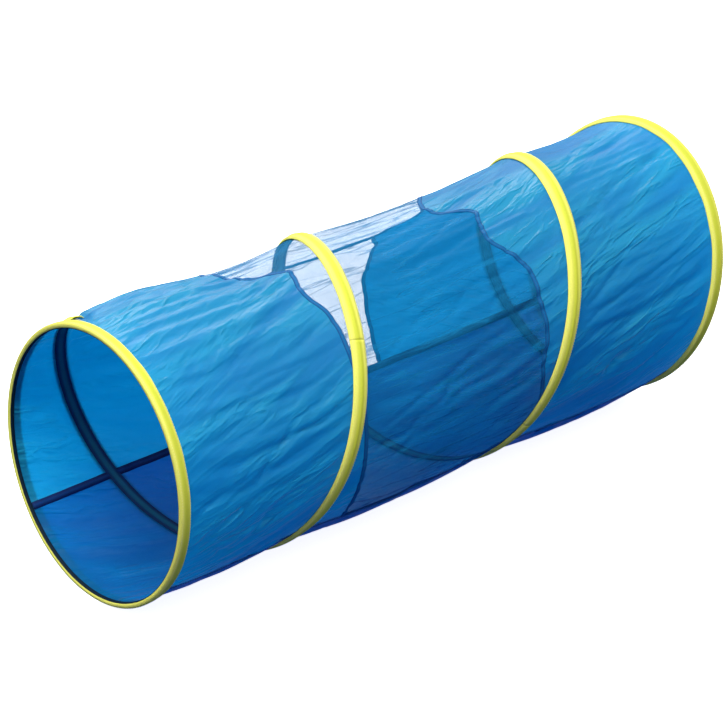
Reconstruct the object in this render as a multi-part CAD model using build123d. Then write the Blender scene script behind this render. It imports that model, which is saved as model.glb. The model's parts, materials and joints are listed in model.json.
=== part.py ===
from build123d import *
import math
import os

# Pop-up agility tunnel: a spring-wire spiral with a hoop at each mouth, sewn under tape
# on the outside of a thin fabric tube. X runs from the front mouth to the back mouth,
# Z is up, and the origin is the centre of the box's base. Millimetres.

# Driving dimensions
RADIUS = 200.0            # outside of the tape
LENGTH = 999.0            # front mouth to back mouth, along the axis
FLAT_DEPTH = 1.2          # how far the tape is pressed flat where the tunnel stands
FRONT_LEAN = 16.0         # how far the top of the front hoop leans towards the back mouth
BACK_LEAN = 52.0          # the same for the back hoop
MID_SLACK = 40.0          # takes lean out of the middle turns
TAPE_WIDTH = 24.0
TAPE_THICKNESS = 1.8
TAPE_LEG = 1.2            # thickness of the spiral tape's turned-down edges
LIP_THICKNESS = 1.5       # rim tape where it wraps over the fabric's cut edge
WIRE_DIAMETER = 3.0
FERRULE_DIAMETER = 4.2
FERRULE_SWEEP = 6.0       # degrees of hoop that a ferrule covers
LAYER_GAP = 0.3           # clear space between layers
TRIM_THICKNESS = 0.7      # seam tape and hem binding
FABRIC_THICKNESS = 1.0
LINING_THICKNESS = 1.4
LINING_WIDTH = 20.0
SEAM_WIDTH = 11.0
HEM_WIDTH = 11.0
WINDOW_SEAM_WIDTH = 8.0

# Spiral: station = SPIRAL_START + SPIRAL_PITCH * turns, where turn 0 is the near side (-Y)
SPIRAL_START = 298.0
SPIRAL_PITCH = 390.0
FRONT_FERRULE_ANGLE = 86.0
BACK_FERRULE_ANGLE = -80.0

# Fabric panels, as angles round the tube: 0 is the near side (-Y) and 90 is the top
NEAR_SEAM_ANGLE = -41.8
FAR_SEAM_ANGLE = 221.8
WINDOW_SEAM_ANGLE = 159.0
WINDOW_FRONT = 325.0      # station of the mesh band's front hem
WINDOW_BACK = 653.0       # station of its back hem
EDGE_GAP = 0.4            # between two fabric edges that a seam joins

# Layers, from the outside in
TAPE_INNER = RADIUS - TAPE_THICKNESS
WIRE_RADIUS = TAPE_INNER - LAYER_GAP - FERRULE_DIAMETER / 2
TRIM_OUTER = WIRE_RADIUS - WIRE_DIAMETER / 2 - LAYER_GAP - 0.1
TRIM_INNER = TRIM_OUTER - TRIM_THICKNESS
FABRIC_OUTER = TRIM_INNER - LAYER_GAP
FABRIC_INNER = FABRIC_OUTER - FABRIC_THICKNESS
LINING_OUTER = FABRIC_INNER - LAYER_GAP
LINING_INNER = LINING_OUTER - LINING_THICKNESS
LEG_INNER = TRIM_OUTER + LAYER_GAP

AXIS_HEIGHT = RADIUS - FLAT_DEPTH
FRONT_STATION_X = -(LENGTH + BACK_LEAN - FRONT_LEAN) / 2
PITCH_ANGLE = math.atan(SPIRAL_PITCH / (2 * math.pi * RADIUS))
TAPE_SPAN = TAPE_WIDTH / math.cos(PITCH_ANGLE)
LINING_SPAN = LINING_WIDTH / math.cos(PITCH_ANGLE)
SECTION_STEP = 10.0       # degrees between the sections that a spiral piece passes through
SPLIT_GAP = 0.25          # degrees left between two spiral pieces
END_CLEARANCE = 3.0       # between the spiral tape's ends and the rim tapes


def lean_at(station):
    """How far the tube's top leans towards the back mouth at a station."""
    u = min(max(station / LENGTH, 0.0), 1.0)
    return FRONT_LEAN - MID_SLACK * u + (BACK_LEAN - FRONT_LEAN + MID_SLACK) * u * u


def spiral_station(turn_angle):
    return SPIRAL_START + SPIRAL_PITCH * turn_angle / 360


def spiral_angle(station):
    return (station - SPIRAL_START) * 360 / SPIRAL_PITCH


def point_at(station, angle, radius, offset=0.0):
    """A point on the leaning tube, moved along X by offset."""
    a = math.radians(angle)
    x = FRONT_STATION_X + station + lean_at(station) * math.sin(a) + offset
    return Vector(x, -radius * math.cos(a), AXIS_HEIGHT + radius * math.sin(a))


def cross_plane(station):
    """The plane that cuts the leaning tube at a station, facing the back mouth."""
    slope = lean_at(station) / RADIUS
    origin = (FRONT_STATION_X + station, 0, AXIS_HEIGHT)
    return Plane(origin=origin, x_dir=(0, 1, 0), z_dir=(1, 0, -slope))


def trim_to(solid, start, end):
    """Keep what lies between two stations."""
    solid = split(solid, bisect_by=cross_plane(start), keep=Keep.TOP)
    return split(solid, bisect_by=cross_plane(end), keep=Keep.BOTTOM)


def flatten(solid):
    """Press the underside flat where the tunnel stands."""
    return split(solid, bisect_by=Plane.XY, keep=Keep.TOP)


def ring(start, end, inner, outer):
    """A closed band round the tube."""
    middle = FRONT_STATION_X + (start + end) / 2
    length = end - start + 2 * BACK_LEAN + 2
    profile_plane = Plane(origin=(middle - length / 2, 0, AXIS_HEIGHT), z_dir=(1, 0, 0))
    profile = profile_plane * (Circle(outer) - Circle(inner))
    return trim_to(extrude(profile, length), start, end)


def panel(start, end, inner, outer, first_angle, last_angle):
    """A band that covers part of the way round the tube."""
    middle = FRONT_STATION_X + (start + end) / 2
    length = end - start + 2 * BACK_LEAN + 2
    sweep_angle = last_angle - first_angle
    outer_arc = CenterArc((0, 0), outer, first_angle, sweep_angle)
    inner_arc = CenterArc((0, 0), inner, first_angle, sweep_angle)
    sides = [Line(inner_arc @ 0, outer_arc @ 0), Line(outer_arc @ 1, inner_arc @ 1)]
    section = make_face([outer_arc, inner_arc] + sides)
    profile_plane = Plane(
        origin=(middle + length / 2, 0, AXIS_HEIGHT), x_dir=(0, -1, 0), z_dir=(-1, 0, 0)
    )
    return trim_to(extrude(profile_plane * section, length), start, end)


def strip(start, end, inner, outer, angle, width):
    """A narrow tape that runs along the tube."""
    half = math.degrees(width / 2 / outer)
    return panel(start, end, inner, outer, angle - half, angle + half)


def spiral_band(first, last, profile):
    """A band that follows the spiral; profile lists (offset along X, radius) corners."""
    count = max(3, round((last - first) / SECTION_STEP))
    sections = []
    for i in range(count + 1):
        angle = first + (last - first) * i / count
        corners = [point_at(spiral_station(angle), angle, r, x) for x, r in profile]
        sections.append(Face(Wire.make_polygon(corners, close=True)))
    return Solid.make_loft([s.outer_wire() for s in sections])


def wire_along(points, diameter):
    """A round wire that passes through a row of points."""
    path = Spline(points)
    section = Plane(origin=path @ 0, z_dir=path % 0) * Circle(diameter / 2)
    return sweep(section, path=path)


def arc_points(station_of, first, last, step=SECTION_STEP):
    count = max(3, round((last - first) / step))
    angles = [first + (last - first) * i / count for i in range(count + 1)]
    return [point_at(station_of(a), a, WIRE_RADIUS) for a in angles]


def hoop_wire(station, joint_angle):
    """A hoop whose two ends meet, a short gap apart, inside its ferrule."""
    half_gap = 0.4
    first = joint_angle + half_gap
    return wire_along(arc_points(lambda a: station, first, first + 360 - 2 * half_gap), WIRE_DIAMETER)


def ferrule(station, joint_angle):
    """The crimped sleeve that closes a hoop."""
    half = FERRULE_SWEEP / 2
    points = arc_points(lambda a: station, joint_angle - half, joint_angle + half, 1.0)
    bore = WIRE_DIAMETER + 0.06
    return wire_along(points, FERRULE_DIAMETER) - wire_along(points, bore)


def rim_tape(start, end, lip_start, lip_end):
    """The tape round a mouth: an outer band, and a lip over the fabric's cut edge."""
    band = ring(start, end, TAPE_INNER, RADIUS)
    lip = ring(lip_start, lip_end, LINING_INNER, TAPE_INNER)
    return flatten(band + lip)


def spiral_pieces():
    """The spiral's wire, tape and lining, each in three lengths."""
    half_tape = TAPE_SPAN / 2
    half_lining = LINING_SPAN / 2
    tape_profile = [
        (-half_tape, LEG_INNER),
        (-half_tape, RADIUS),
        (half_tape, RADIUS),
        (half_tape, LEG_INNER),
        (half_tape - TAPE_LEG, LEG_INNER),
        (half_tape - TAPE_LEG, TAPE_INNER),
        (TAPE_LEG - half_tape, TAPE_INNER),
        (TAPE_LEG - half_tape, LEG_INNER),
    ]
    lining_profile = [
        (-half_lining, LINING_INNER),
        (-half_lining, LINING_OUTER),
        (half_lining, LINING_OUTER),
        (half_lining, LINING_INNER),
    ]
    tape_margin = TAPE_WIDTH + half_tape + END_CLEARANCE
    wire_margin = TAPE_WIDTH / 2 + WIRE_DIAMETER + LAYER_GAP
    first = spiral_angle(tape_margin)
    last = spiral_angle(LENGTH - tape_margin)
    third = (last - first) / 3
    made = {}
    for index, name in enumerate(("front", "middle", "rear")):
        start = first + index * third + SPLIT_GAP
        end = first + (index + 1) * third - SPLIT_GAP
        wire_start = spiral_angle(wire_margin) if index == 0 else start
        wire_end = spiral_angle(LENGTH - wire_margin) if index == 2 else end
        made[f"spiral_wire_{name}"] = wire_along(
            arc_points(spiral_station, wire_start, wire_end), WIRE_DIAMETER
        )
        made[f"spiral_tape_{name}"] = flatten(spiral_band(start, end, tape_profile))
        made[f"spiral_lining_{name}"] = spiral_band(start, end, lining_profile)
    return made


def mouth_pieces():
    """Each mouth's hoop, ferrule, tape and lining."""
    half = TAPE_WIDTH / 2
    lining_inset = LIP_THICKNESS + LAYER_GAP
    lining_end = lining_inset + LINING_WIDTH
    back = LENGTH
    return {
        "front_hoop_wire": hoop_wire(half, FRONT_FERRULE_ANGLE),
        "front_ferrule": ferrule(half, FRONT_FERRULE_ANGLE),
        "front_rim_tape": rim_tape(0, TAPE_WIDTH, 0, LIP_THICKNESS),
        "front_rim_lining": ring(lining_inset, lining_end, LINING_INNER, LINING_OUTER),
        "back_hoop_wire": hoop_wire(back - half, BACK_FERRULE_ANGLE),
        "back_ferrule": ferrule(back - half, BACK_FERRULE_ANGLE),
        "back_rim_tape": rim_tape(back - TAPE_WIDTH, back, back - LIP_THICKNESS, back),
        "back_rim_lining": ring(back - lining_end, back - lining_inset, LINING_INNER, LINING_OUTER),
    }


def fabric_pieces():
    """The panels of the tube, the mesh window and the tapes that join them."""
    inset = LIP_THICKNESS + LAYER_GAP
    half_edge = math.degrees(EDGE_GAP / 2 / FABRIC_OUTER)
    upper = (NEAR_SEAM_ANGLE + half_edge, FAR_SEAM_ANGLE - half_edge)
    lower = (FAR_SEAM_ANGLE + half_edge, NEAR_SEAM_ANGLE + 360 - half_edge)
    cloth = (FABRIC_INNER, FABRIC_OUTER)
    trim = (TRIM_INNER, TRIM_OUTER)
    half_seam = math.degrees((SEAM_WIDTH / 2 + EDGE_GAP) / TRIM_OUTER)
    between_seams = (NEAR_SEAM_ANGLE + half_seam, FAR_SEAM_ANGLE - half_seam)
    half_hem = HEM_WIDTH / 2
    hem_clear = half_hem + EDGE_GAP
    made = {
        "front_upper_panel": panel(inset, WINDOW_FRONT - EDGE_GAP / 2, *cloth, *upper),
        "mesh_window": panel(WINDOW_FRONT + EDGE_GAP / 2, WINDOW_BACK - EDGE_GAP / 2, *cloth, *upper),
        "rear_upper_panel": panel(WINDOW_BACK + EDGE_GAP / 2, LENGTH - inset, *cloth, *upper),
        "floor_panel": panel(inset, LENGTH - inset, *cloth, *lower),
    }
    for name, angle in (("near_seam_tape", NEAR_SEAM_ANGLE), ("far_seam_tape", FAR_SEAM_ANGLE)):
        made[name] = strip(inset, LENGTH - inset, *trim, angle, SEAM_WIDTH)
    for name, station in (("window_front_hem", WINDOW_FRONT), ("window_back_hem", WINDOW_BACK)):
        made[name] = panel(station - half_hem, station + half_hem, *trim, *between_seams)
    made["window_seam_tape"] = strip(
        WINDOW_FRONT + hem_clear, WINDOW_BACK - hem_clear, *trim, WINDOW_SEAM_ANGLE, WINDOW_SEAM_WIDTH
    )
    return made


def main():
    os.makedirs("parts", exist_ok=True)
    pieces = {**mouth_pieces(), **spiral_pieces(), **fabric_pieces()}
    for name, solid in pieces.items():
        export_step(solid, f"parts/{name}.step")
        box = solid.bounding_box()
        print(name, round(solid.volume), [round(v, 1) for v in (*box.min, *box.max)])


main()
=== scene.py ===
"""Looks of a pop-up agility tunnel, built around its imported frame.

A spring wire runs round each mouth and spirals between them. Thin blue nylon hangs on it,
yellow tape covers it outside, and a dark lining covers it inside. Lengths are in metres and
angles run round the tube: 0 degrees is the near side (-Y) and 90 is the top.
"""

import json
import logging
import math
from dataclasses import dataclass, field
from enum import Enum
from typing import Callable, Sequence

import bmesh
import bpy
import numpy as np
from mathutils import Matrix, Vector


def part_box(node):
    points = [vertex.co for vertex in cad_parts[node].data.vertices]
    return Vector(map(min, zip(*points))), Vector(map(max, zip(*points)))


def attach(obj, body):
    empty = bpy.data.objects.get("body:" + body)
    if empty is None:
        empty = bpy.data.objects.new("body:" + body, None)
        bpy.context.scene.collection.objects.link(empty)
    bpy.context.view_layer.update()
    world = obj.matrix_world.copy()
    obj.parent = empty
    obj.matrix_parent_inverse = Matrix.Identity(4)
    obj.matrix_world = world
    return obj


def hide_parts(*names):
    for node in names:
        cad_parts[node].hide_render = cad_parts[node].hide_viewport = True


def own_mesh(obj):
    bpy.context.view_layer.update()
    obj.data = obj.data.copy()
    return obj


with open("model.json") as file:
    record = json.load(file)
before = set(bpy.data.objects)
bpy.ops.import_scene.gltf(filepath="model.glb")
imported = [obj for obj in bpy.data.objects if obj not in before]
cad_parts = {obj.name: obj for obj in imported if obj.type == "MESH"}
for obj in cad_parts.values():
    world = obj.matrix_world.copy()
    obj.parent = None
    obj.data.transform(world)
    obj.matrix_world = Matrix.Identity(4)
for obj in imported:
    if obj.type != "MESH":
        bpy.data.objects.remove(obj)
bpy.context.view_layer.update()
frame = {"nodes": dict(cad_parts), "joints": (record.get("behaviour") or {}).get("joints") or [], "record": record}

LOG = logging.getLogger("tunnel")

MM = 0.001
FULL_TURN = 360.0

TAPE_WIDTH = 24 * MM
SPIRAL_START = 298 * MM      # station of the spiral where it first crosses the near side
SPIRAL_PITCH = 390 * MM      # along the tunnel, for one turn
MID_SLACK = 40 * MM          # takes lean out of the middle turns
WIRE_DIAMETER = 3 * MM
WIRE_DEPTH = 4.2 * MM        # from the outside of the tape to the wire's centre
CLOTH_DEPTH = 6.3 * MM       # from the outside of the tape to the middle of the cloth
CLOTH_THICKNESS = 0.5 * MM
NEAR_SEAM = -41.8
FAR_SEAM = 221.8
TOP_SEAM = 159.0             # lengthwise seam in the mesh band
FIRST_ANGLE = -60.0          # where the cloth's grid starts
COLLAPSE = "tunnel_collapse"
STACK_INSET = 10 * MM        # where the collapsed cloth starts inside the front hoop


class Body(str, Enum):
    """The frame's bodies, from the front mouth to the back mouth."""

    FRONT_MOUTH = "front_mouth"
    FRONT = "tunnel_front"
    MIDDLE = "tunnel_middle"
    REAR = "tunnel_rear"
    BACK_MOUTH = "back_mouth"


class Slot(str, Enum):
    """The record's material slots."""

    TAPE = "yellow_tape"
    NYLON = "blue_nylon"
    FLOOR = "floor_nylon"
    MESH = "blue_mesh"
    LINING = "navy_lining"
    BINDING = "navy_binding"
    WIRE = "spring_steel"


# --------------------------------------------------------------------------- the tube's form


@dataclass(frozen=True)
class TubeForm:
    """The leaning tube that every piece wraps round, sized from the frame."""

    radius: float
    axis_height: float
    front_x: float
    length: float
    front_lean: float
    back_lean: float

    @classmethod
    def from_frame(cls) -> "TubeForm":
        """Read the tube's sizes from the two rim tapes' boxes.

        Returns:
            The form that both rims and the spiral share.
        """
        front_low, front_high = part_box("front_rim_tape")
        back_low, back_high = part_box("back_rim_tape")
        radius = round((front_high.y - front_low.y) / 2, 4)
        front_x = (front_low.x + front_high.x) / 2 - TAPE_WIDTH / 2
        back_x = (back_low.x + back_high.x) / 2 + TAPE_WIDTH / 2
        return cls(
            radius=radius,
            axis_height=front_high.z - radius,
            front_x=front_x,
            length=back_x - front_x,
            front_lean=(front_high.x - front_low.x - TAPE_WIDTH) / 2,
            back_lean=(back_high.x - back_low.x - TAPE_WIDTH) / 2,
        )

    @property
    def cloth_radius(self) -> float:
        """Radius of the middle of the cloth where it is sewn to the wire."""
        return self.radius - CLOTH_DEPTH

    @property
    def lean_terms(self) -> tuple[float, float, float]:
        """Constant, linear and square terms of the lean over the share of the length."""
        return (
            self.front_lean,
            -MID_SLACK,
            self.back_lean - self.front_lean + MID_SLACK,
        )

    def lean(self, station: np.ndarray) -> np.ndarray:
        """How far the tube's top leans towards the back mouth.

        Args:
            station: Distance from the front mouth along the tube.

        Returns:
            The lean at each station.
        """
        u = np.clip(np.asarray(station, float) / self.length, 0.0, 1.0)
        constant, linear, square = self.lean_terms
        return constant + linear * u + square * u * u

    def point(self, station: np.ndarray, angle: np.ndarray, radius: np.ndarray) -> np.ndarray:
        """Points on the leaning tube.

        Args:
            station: Distance from the front mouth along the tube.
            angle: Degrees round the tube.
            radius: Distance from the tube's axis.

        Returns:
            An array whose last axis is x, y, z.
        """
        a = np.radians(angle)
        x = self.front_x + station + self.lean(station) * np.sin(a)
        y = -radius * np.cos(a)
        z = self.axis_height + radius * np.sin(a)
        return np.stack(np.broadcast_arrays(x, y, z), -1)

    def outwards(self, points: np.ndarray) -> np.ndarray:
        """Unit vectors from the axis through points."""
        radial = points - np.array([0.0, 0.0, self.axis_height])
        radial[:, 0] = 0.0
        return radial / np.linalg.norm(radial, axis=-1, keepdims=True)

    def spiral_station(self, turn: np.ndarray) -> np.ndarray:
        """Station of the spiral wire after turning through an angle in degrees."""
        return SPIRAL_START + SPIRAL_PITCH * np.asarray(turn, float) / FULL_TURN

    def spiral_angle(self, station: float) -> float:
        """Angle in degrees through which the spiral has turned at a station."""
        return (station - SPIRAL_START) * FULL_TURN / SPIRAL_PITCH

    @property
    def pitch_slope(self) -> float:
        """Cosine of the spiral's pitch angle."""
        return math.cos(math.atan(SPIRAL_PITCH / (2 * math.pi * self.radius)))

    def wire_stations(self, angle: float) -> np.ndarray:
        """Every station where wire crosses one angle, with both mouths.

        Args:
            angle: Degrees round the tube.

        Returns:
            Sorted stations, from the front mouth's to the back mouth's.
        """
        half = TAPE_WIDTH / 2
        turns = [angle + FULL_TURN * k for k in range(-3, 4)]
        stations = [float(self.spiral_station(t)) for t in turns]
        inner = [s for s in stations if half < s < self.length - half]
        return np.array([half, *sorted(inner), self.length - half])


# --------------------------------------------------------------------------- mesh helpers


def link(name: str, mesh: bpy.types.Mesh) -> bpy.types.Object:
    """Put a mesh in the scene as an object at the origin."""
    made = bpy.data.objects.new(name, mesh)
    bpy.context.scene.collection.objects.link(made)
    return made


def grid_faces(rows: int, columns: int, closed: bool = False) -> list[tuple[int, int, int, int]]:
    """Quads over a grid of vertices stored row by row.

    Args:
        rows: Vertices along the first axis.
        columns: Vertices along the second axis.
        closed: Whether the second axis joins up with its start.

    Returns:
        Vertex indices of each quad.
    """
    faces = []
    for i in range(rows - 1):
        for j in range(columns if closed else columns - 1):
            k = (j + 1) % columns
            low, high = i * columns, (i + 1) * columns
            faces.append((low + j, low + k, high + k, high + j))
    return faces


def mesh_from_grid(
    name: str, points: np.ndarray, uv: np.ndarray, closed: bool = False, capped: bool = True
) -> bpy.types.Mesh:
    """A smooth-shaded mesh over a grid of points, with a UV map in metres.

    Args:
        name: The mesh's name.
        points: Array of rows x columns x 3.
        uv: Array of rows x columns x 2.
        closed: Whether each row joins up with its start.
        capped: Whether a closed grid's first and last rows are filled in.

    Returns:
        The mesh.
    """
    rows, columns = points.shape[:2]
    faces = grid_faces(rows, columns, closed)
    if closed and capped:
        faces.append(tuple(reversed(range(columns))))
        faces.append(tuple((rows - 1) * columns + j for j in range(columns)))
    mesh = bpy.data.meshes.new(name)
    mesh.from_pydata(points.reshape(-1, 3).tolist(), [], faces)
    flat = uv.reshape(-1, 2)
    layer = mesh.uv_layers.new(name="UVMap")
    loop_vertices = np.zeros(len(mesh.loops), np.int32)
    mesh.loops.foreach_get("vertex_index", loop_vertices)
    layer.data.foreach_set("uv", flat[loop_vertices].astype(np.float32).ravel())
    mesh.polygons.foreach_set("use_smooth", [True] * len(mesh.polygons))
    mesh.update()
    return mesh


def face_outwards(mesh: bpy.types.Mesh, merge: float = 0.0) -> None:
    """Turn every face of a closed mesh outwards.

    Args:
        mesh: The mesh.
        merge: Distance within which corners are joined first, or 0 to join none.
    """
    editable = bmesh.new()
    editable.from_mesh(mesh)
    if merge:
        bmesh.ops.remove_doubles(editable, verts=editable.verts, dist=merge)
    bmesh.ops.recalc_face_normals(editable, faces=editable.faces)
    editable.to_mesh(mesh)
    editable.free()
    mesh.update()


def thicken(piece: bpy.types.Object, thickness: float, offset: float = 0.0) -> None:
    """Give a single surface an even wall.

    Args:
        piece: The surface's object.
        thickness: The wall's thickness.
        offset: -1 grows it behind the surface, 1 in front, and 0 to both sides.
    """
    wall = piece.modifiers.new("wall", "SOLIDIFY")
    wall.thickness = thickness
    wall.offset = offset
    wall.use_even_offset = False


def settle(piece: bpy.types.Object) -> bpy.types.Object:
    """Turn a piece's modifiers into plain mesh."""
    graph = bpy.context.evaluated_depsgraph_get()
    graph.update()
    mesh = bpy.data.meshes.new_from_object(
        piece.evaluated_get(graph), preserve_all_data_layers=True, depsgraph=graph
    )
    old = piece.data
    piece.modifiers.clear()
    piece.data = mesh
    if old.users == 0:
        bpy.data.meshes.remove(old)
    return piece


def smooth_noise(
    u: np.ndarray, v: np.ndarray, wavelength: tuple[float, float], seed: int, octaves: int = 3
) -> np.ndarray:
    """Smooth random waves over a surface, from -1 to 1 or so.

    Args:
        u: First coordinate, in metres.
        v: Second coordinate, in metres.
        wavelength: Longest wave along each coordinate, in metres.
        seed: Fixes the waves.
        octaves: How many times the waves halve in length.

    Returns:
        One value for each point.
    """
    rng = np.random.default_rng(seed)
    total = np.zeros(np.broadcast(u, v).shape)
    weight = 1.0
    for octave in range(octaves):
        scale = 2.0**octave
        for _ in range(6):
            turn = rng.uniform(-0.5, 0.5)
            phase = rng.uniform(0, 2 * math.pi)
            stretch = rng.uniform(0.7, 1.4)
            along = u / wavelength[0] + v / wavelength[1] * turn * 2
            across = v / wavelength[1] - u / wavelength[0] * turn
            total = total + weight * np.sin(2 * math.pi * scale * stretch * along + phase) * np.cos(
                2 * math.pi * scale * across / stretch + 2.1 * phase
            )
        weight *= 0.5
    return total / 6.0


# --------------------------------------------------------------------------- node helpers

Value = bpy.types.NodeSocket | float | int | tuple


class Graph:
    """Adds and joins nodes in a few words."""

    def __init__(self, tree: bpy.types.NodeTree) -> None:
        """Work on one node tree."""
        self.tree = tree

    def feed(self, socket: bpy.types.NodeSocket, value: Value) -> None:
        """Join a socket to another, or set its value."""
        if isinstance(value, bpy.types.NodeSocket):
            self.tree.links.new(value, socket)
        else:
            socket.default_value = value

    def add(self, kind: str, inputs: dict | None = None, **settings: object) -> bpy.types.Node:
        """Add a node.

        Args:
            kind: The node's type name.
            inputs: Values or sockets for its inputs, by name or index.
            **settings: The node's own properties.

        Returns:
            The node.
        """
        node = self.tree.nodes.new(kind)
        for key, value in settings.items():
            setattr(node, key, value)
        for key, value in (inputs or {}).items():
            self.feed(node.inputs[key], value)
        return node

    def math(self, operation: str, *values: Value, clamp: bool = False) -> bpy.types.NodeSocket:
        """One step of arithmetic on numbers or sockets."""
        node = self.add("ShaderNodeMath", operation=operation, use_clamp=clamp)
        for index, value in enumerate(values):
            self.feed(node.inputs[index], value)
        return node.outputs[0]

    def total(self, *values: Value) -> bpy.types.NodeSocket:
        """The sum of several numbers or sockets."""
        result = values[0]
        for value in values[1:]:
            result = self.math("ADD", result, value)
        return result

    def times(self, *values: Value) -> bpy.types.NodeSocket:
        """The product of several numbers or sockets."""
        result = values[0]
        for value in values[1:]:
            result = self.math("MULTIPLY", result, value)
        return result

    def ramp(
        self, value: Value, low: float, high: float, to_low: float = 0.0, to_high: float = 1.0
    ) -> bpy.types.NodeSocket:
        """Carry a value smoothly from one range to another."""
        node = self.add(
            "ShaderNodeMapRange",
            {"Value": value, "From Min": low, "From Max": high, "To Min": to_low, "To Max": to_high},
            interpolation_type="SMOOTHSTEP",
        )
        return node.outputs["Result"]

    def mix(
        self, share: Value, first: Value, second: Value, blend: str = "MIX"
    ) -> bpy.types.NodeSocket:
        """Mix two colours."""
        node = self.add("ShaderNodeMix", data_type="RGBA", blend_type=blend)
        self.feed(node.inputs["Factor"], share)
        colour_inputs = [s for s in node.inputs if s.type == "RGBA"]
        self.feed(colour_inputs[0], first)
        self.feed(colour_inputs[1], second)
        return next(s for s in node.outputs if s.type == "RGBA")


def group_tree(
    name: str, kind: str, inputs: dict[str, float | str], outputs: dict[str, str]
) -> tuple[bpy.types.NodeTree, Graph, bpy.types.Node, bpy.types.Node]:
    """A new node group with its sockets.

    Args:
        name: The group's name.
        kind: "ShaderNodeTree" or "GeometryNodeTree".
        inputs: Default value of each input, or the socket type of one with no value.
        outputs: Socket type of each output.

    Returns:
        The tree, its Graph, the node that gives its inputs and the one that takes its outputs.
    """
    tree = bpy.data.node_groups.new(name, kind)
    for label, value in inputs.items():
        socket_type = value if isinstance(value, str) else "NodeSocketFloat"
        if isinstance(value, int):
            socket_type = "NodeSocketInt"
        socket = tree.interface.new_socket(name=label, in_out="INPUT", socket_type=socket_type)
        if not isinstance(value, str):
            socket.default_value = value
    for label, socket_type in outputs.items():
        tree.interface.new_socket(name=label, in_out="OUTPUT", socket_type=socket_type)
    graph = Graph(tree)
    return tree, graph, graph.add("NodeGroupInput"), graph.add("NodeGroupOutput")


# --------------------------------------------------------------------------- finishes


def weave_group() -> bpy.types.NodeTree:
    """Plain weave: threads over and under each other, on a UV map in metres.

    Returns:
        A shader group that gives the threads' height and a painted shade, darker where the threads dip under each
        other and mixed with the slub's own uneven tone.
    """
    tree, g, source, sink = group_tree(
        "plain_weave",
        "ShaderNodeTree",
        {"Vector": "NodeSocketVector", "Threads per Metre": 1600.0, "Slub": 0.3},
        {"Height": "NodeSocketFloat", "Shade": "NodeSocketFloat"},
    )
    parts = g.add("ShaderNodeSeparateXYZ", {0: source.outputs["Vector"]})
    density = source.outputs["Threads per Metre"]
    around = g.times(parts.outputs["X"], density, math.pi)
    along = g.times(parts.outputs["Y"], density, math.pi)
    warp = g.math("ABSOLUTE", g.math("SINE", around))
    weft = g.math("ABSOLUTE", g.math("SINE", along))
    over = g.math("GREATER_THAN", g.times(g.math("SINE", around), g.math("SINE", along)), 0.0)
    height = g.total(g.times(warp, over), g.times(weft, g.math("SUBTRACT", 1.0, over)))
    slub = g.add(
        "ShaderNodeTexNoise",
        {"Vector": source.outputs["Vector"], "Scale": 420.0, "Detail": 1.0, "Roughness": 0.5},
    )
    uneven = g.times(g.math("SUBTRACT", slub.outputs[0], 0.5), source.outputs["Slub"])
    g.feed(sink.inputs["Height"], g.total(g.times(height, 0.7), uneven))
    # Painted shade: the threads are darker where they dip, and the slub adds the yarn's own uneven tone.
    g.feed(sink.inputs["Shade"], g.total(g.times(height, 0.25), g.times(uneven, 1.4), 0.75))
    return tree


def crinkle_group() -> bpy.types.NodeTree:
    """Creases of thin crisp cloth that has been packed away and has sprung open.

    Returns:
        A shader group that gives the creases' height and a painted shade, lighter on the raised creases and darker
        in their hollows.
    """
    tree, g, source, sink = group_tree(
        "packed_creases",
        "ShaderNodeTree",
        {"Vector": "NodeSocketVector", "Size": 0.02, "Stretch": 0.24, "Slant": 0.28},
        {"Height": "NodeSocketFloat", "Shade": "NodeSocketFloat"},
    )
    parts = g.add("ShaderNodeSeparateXYZ", {0: source.outputs["Vector"]})
    round_about, along = parts.outputs["X"], parts.outputs["Y"]
    drawn = g.add(
        "ShaderNodeCombineXYZ",
        {
            "X": g.math("SUBTRACT", round_about, g.times(along, source.outputs["Slant"])),
            "Y": g.times(along, source.outputs["Stretch"]),
        },
    )
    scale = g.math("DIVIDE", 1.0, source.outputs["Size"])
    broad = g.add(
        "ShaderNodeTexNoise",
        {"Vector": drawn.outputs[0], "Scale": g.times(scale, 0.35), "Detail": 3.0, "Distortion": 0.6},
    )
    fine = g.add(
        "ShaderNodeTexNoise",
        {"Vector": drawn.outputs[0], "Scale": scale, "Detail": 2.0, "Distortion": 0.25},
    )
    ridge = g.math("ABSOLUTE", g.math("SUBTRACT", fine.outputs[0], 0.5))
    ridge = g.math("SUBTRACT", 1.0, g.math("MINIMUM", g.times(ridge, 9.0), 1.0))
    worn = g.ramp(broad.outputs[0], 0.4, 0.68)
    height = g.total(g.times(broad.outputs[0], 1.1), g.times(ridge, worn, 0.28))
    g.feed(sink.inputs["Height"], height)
    # Painted shade and highlight: the colour share follows the broad creases' height.
    g.feed(sink.inputs["Shade"], g.ramp(broad.outputs[0], 0.3, 0.7))
    return tree


GROUPS: dict[str, bpy.types.NodeTree] = {}


def shared_group(name: str) -> bpy.types.NodeTree:
    """One of the shader groups that several materials use, made on first use."""
    makers = {"plain_weave": weave_group, "packed_creases": crinkle_group}
    if name not in GROUPS:
        GROUPS[name] = makers[name]()
    return GROUPS[name]


def new_material(name: str) -> tuple[bpy.types.Material, Graph, bpy.types.Node, bpy.types.Node]:
    """A material with an empty Principled shader.

    Args:
        name: The material's name.

    Returns:
        The material, its Graph, its Principled node and its output node.
    """
    material = bpy.data.materials.new(name)
    material.use_nodes = True
    tree = material.node_tree
    tree.nodes.clear()
    g = Graph(tree)
    surface = g.add("ShaderNodeBsdfPrincipled")
    output = g.add("ShaderNodeOutputMaterial")
    g.feed(output.inputs["Surface"], surface.outputs[0])
    return material, g, surface, output


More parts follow.
